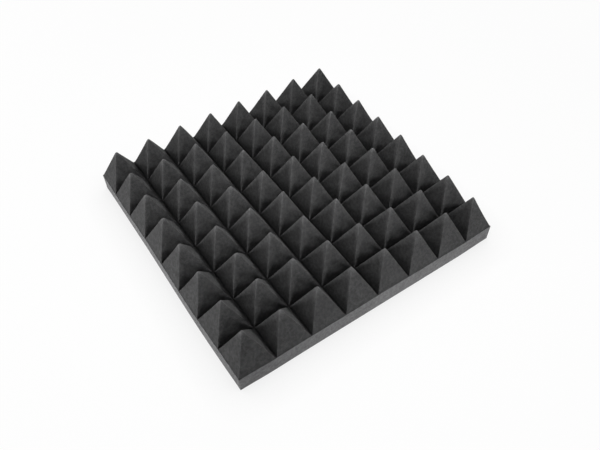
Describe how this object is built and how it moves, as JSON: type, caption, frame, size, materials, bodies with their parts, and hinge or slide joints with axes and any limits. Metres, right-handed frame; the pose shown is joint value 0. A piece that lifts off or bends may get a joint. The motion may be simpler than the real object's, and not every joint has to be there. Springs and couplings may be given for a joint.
{
  "type": "acoustic foam panel",
  "caption": "Square sound-absorbing panel of dark open-cell foam, with rows of pyramids cut over its face and a flat glue face behind.",
  "frame": {"origin": "the middle of the flat glue face", "axes": "+Z out of the glue face towards the pyramid tips and the room, +X and +Y along the panel's sides, +X along the pyramid rows"},
  "size_m": [0.5, 0.5, 0.093],
  "materials": {
    "foam": "charcoal open-cell polyurethane foam, matt, with fine open cells"
  },
  "bodies": {
    "root": {"backing_slab": "foam", "pyramid_row_1": "foam", "pyramid_row_2": "foam", "pyramid_row_3": "foam", "pyramid_row_4": "foam", "pyramid_row_5": "foam", "pyramid_row_6": "foam", "pyramid_row_7": "foam", "pyramid_row_8": "foam"}
  },
  "joints": []
}
